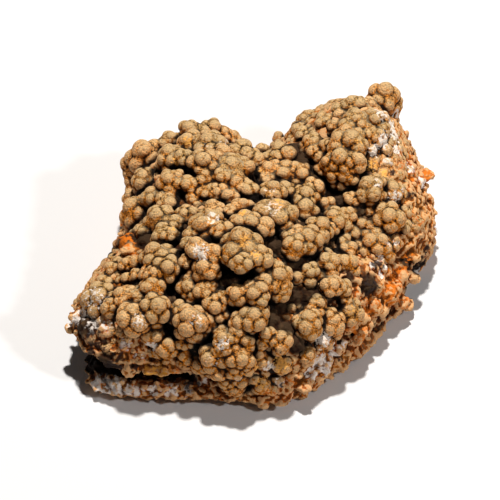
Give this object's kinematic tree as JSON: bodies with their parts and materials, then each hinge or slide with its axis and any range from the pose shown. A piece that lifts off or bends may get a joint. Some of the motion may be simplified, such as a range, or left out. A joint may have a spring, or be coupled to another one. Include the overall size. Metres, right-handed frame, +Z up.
{
  "type": "mineral specimen",
  "caption": "Hand-sized mottramite specimen: a crust of olive-brown rounded knobs grown over a rough slab of rusty iron-stained rock with a flat underside.",
  "frame": {"origin": "middle of the bounding box, on the ground", "axes": "+Z up, +X to the right as the face is looked at, -Y towards the front edge, where the knobby face slopes down to the broken rock wall"},
  "size_m": [0.0912, 0.0912, 0.0395],
  "materials": {
    "matrix_rock": "rough, granular, iron-stained",
    "mottramite_crust": "matte, sugary-grained"
  },
  "bodies": {
    "root": {"matrix_rock": "matrix_rock", "mottramite_crust": "mottramite_crust"}
  },
  "joints": []
}
